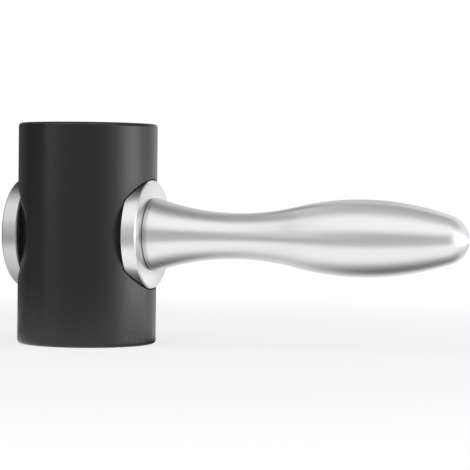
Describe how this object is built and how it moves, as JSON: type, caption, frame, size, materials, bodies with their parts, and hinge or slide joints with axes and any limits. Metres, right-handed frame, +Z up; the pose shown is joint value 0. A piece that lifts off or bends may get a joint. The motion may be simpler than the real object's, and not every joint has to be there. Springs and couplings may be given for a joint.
{
  "type": "soft face hammer",
  "caption": "Soft face hammer: an upright black cylindrical head clamped between bright collars, on a short turned metal handle with a slim neck, a full grip and a domed tip.",
  "frame": {"origin": "centre of the lower striking face, on the axis of the head", "axes": "+Z up along the head's axis, +X along the handle from the head to its tip, +Y across both"},
  "size_m": [0.199, 0.0604, 0.0957],
  "materials": {
    "head_rubber": "matte, fine grain",
    "collar_steel": "satin, turned",
    "screw_steel": "satin",
    "inner_steel": "as machined",
    "handle_aluminium": "satin, turned"
  },
  "bodies": {
    "root": {"soft_head": "head_rubber", "core_sleeve": "inner_steel", "rear_collar": "collar_steel", "front_collar": "collar_steel", "clamp_screw": "screw_steel", "spring_washer": "inner_steel", "thread_insert": "inner_steel", "handle": "handle_aluminium"}
  },
  "joints": []
}
